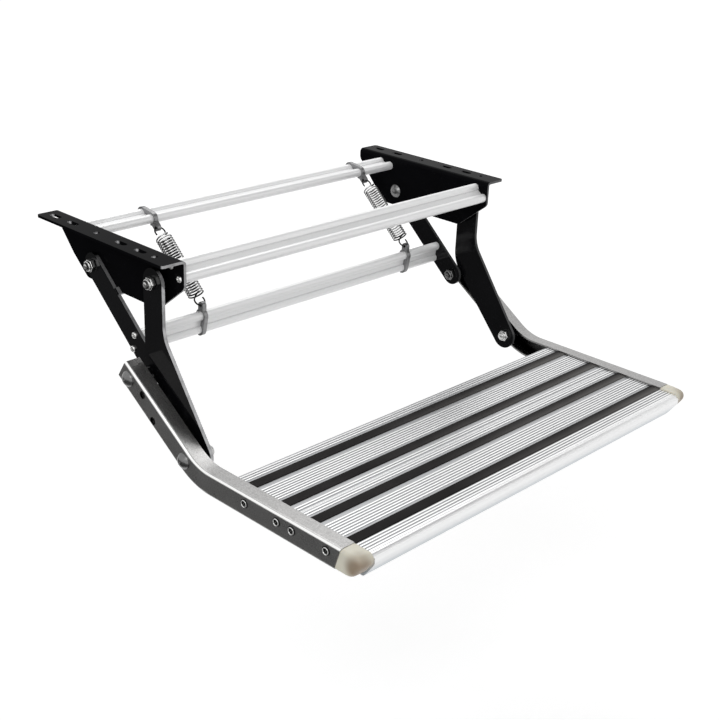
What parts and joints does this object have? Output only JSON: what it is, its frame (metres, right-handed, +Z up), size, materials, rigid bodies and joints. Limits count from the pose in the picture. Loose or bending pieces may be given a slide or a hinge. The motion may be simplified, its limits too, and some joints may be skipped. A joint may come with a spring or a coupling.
{
  "type": "folding entry step",
  "caption": "Fold-away entry step for a caravan: black hanging brackets and arms, bent side rails, a ribbed aluminium tread with dark anti-slip strips, and coil springs.",
  "frame": {"origin": "middle of the mounting plane: halfway between the brackets and halfway along their flanges, on the flange tops", "axes": "+X across the step, towards the right bracket seen from the front; the nosing faces -Y; +Z up, out of the mounting plane"},
  "size_m": [0.5776, 0.5295, 0.2305],
  "materials": {
    "black_coat": "gloss black powder coat",
    "rail_metal": "satin grey anodised",
    "aluminium": "bright anodised extrusion",
    "strip": "charcoal anti-slip insert",
    "ivory": "satin moulded plastic",
    "fastener": "bright zinc plate",
    "clip": "plain cut steel plate",
    "spring_steel": "drawn spring wire"
  },
  "bodies": {
    "frame": {"left_bracket": "black_coat", "right_bracket": "black_coat", "rear_top_bar": "aluminium", "front_top_bar": "aluminium", "top_bar_screws": "fastener", "left_upper_clip": "clip", "right_upper_clip": "clip", "rear_pivot_bolts": "fastener", "rear_pivot_nuts": "fastener", "front_pivot_bolts": "fastener", "front_pivot_spacers": "fastener", "front_pivot_nuts": "fastener"},
    "rear_arms": {"left_rear_arm": "black_coat", "right_rear_arm": "black_coat", "lower_bar": "aluminium", "lower_bar_screws": "fastener", "left_lower_clip": "clip", "right_lower_clip": "clip"},
    "front_arms": {"left_front_arm": "black_coat", "right_front_arm": "black_coat", "rail_front_nuts": "fastener"},
    "step": {"left_rail": "rail_metal", "right_rail": "rail_metal", "rear_plank": "aluminium", "front_plank": "aluminium", "rear_strip": "strip", "second_strip": "strip", "third_strip": "strip", "nosing_strip": "strip", "left_end_cap": "ivory", "right_end_cap": "ivory", "plank_screws": "fastener", "rail_rear_bolts": "fastener", "rail_rear_spacers": "fastener", "rail_rear_nuts": "fastener", "rail_front_bolts": "fastener", "rail_front_spacers": "fastener"},
    "springs": {"left_spring": "spring_steel", "right_spring": "spring_steel"}
  },
  "joints": [
    {"name": "fold", "type": "hinge", "parent": "frame", "child": "rear_arms", "pos_m": [0, 0.044, -0.046], "axis": [1, 0, 0], "range_deg": [0, 120]},
    {"name": "front_arm_pivot", "type": "hinge", "parent": "frame", "child": "front_arms", "pos_m": [0, -0.076, -0.032], "axis": [1, 0, 0], "range_deg": [0, 80.19]},
    {"name": "step_pivot", "type": "hinge", "parent": "rear_arms", "child": "step", "pos_m": [0, -0.06193, -0.13906], "axis": [1, 0, 0], "range_deg": [-127.7, 0]},
    {"name": "spring_pivot", "type": "hinge", "parent": "frame", "child": "springs", "pos_m": [0, 0.04805, -0.02138], "axis": [1, 0, 0], "range_deg": [0, 96.69], "deforming": ["left_spring", "right_spring"]}
  ],
  "couplings": [
    {"joint": "front_arm_pivot", "follows": "fold", "ratio": 0.66738},
    {"joint": "step_pivot", "follows": "fold", "ratio": -1.0634},
    {"joint": "spring_pivot", "follows": "fold", "ratio": 0.8049}
  ]
}
